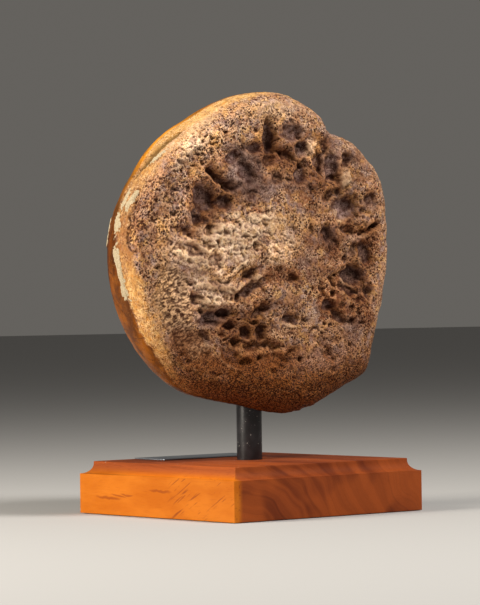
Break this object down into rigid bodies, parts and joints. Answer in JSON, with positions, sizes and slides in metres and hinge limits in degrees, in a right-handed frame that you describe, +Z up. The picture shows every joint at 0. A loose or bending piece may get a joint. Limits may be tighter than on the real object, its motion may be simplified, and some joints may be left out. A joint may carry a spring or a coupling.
{
  "type": "mammoth femur head fossil on a stand",
  "caption": "Fossil head of a mammoth thigh bone, its cratered spongy face forward and smooth joint dome behind, held upright by a rod on a square wooden display base.",
  "frame": {"origin": "centre of the underside of the wooden base", "axes": "+Z up; the bone's spongy face looks towards -Y, turned 12 degrees towards -X; the label plate lies along the base's +Y edge"},
  "size_m": [0.1879, 0.1524, 0.2626],
  "materials": {
    "fossil_bone": "matt spongy bone with dark pores, glossy amber-brown dome",
    "black_rod": "black, half gloss",
    "base_wood": "satin varnish",
    "plate_metal": "satin"
  },
  "bodies": {
    "root": {"femur_head": "fossil_bone", "stand_rod": "black_rod", "stand_base": "base_wood", "label_plate": "plate_metal"}
  },
  "joints": []
}
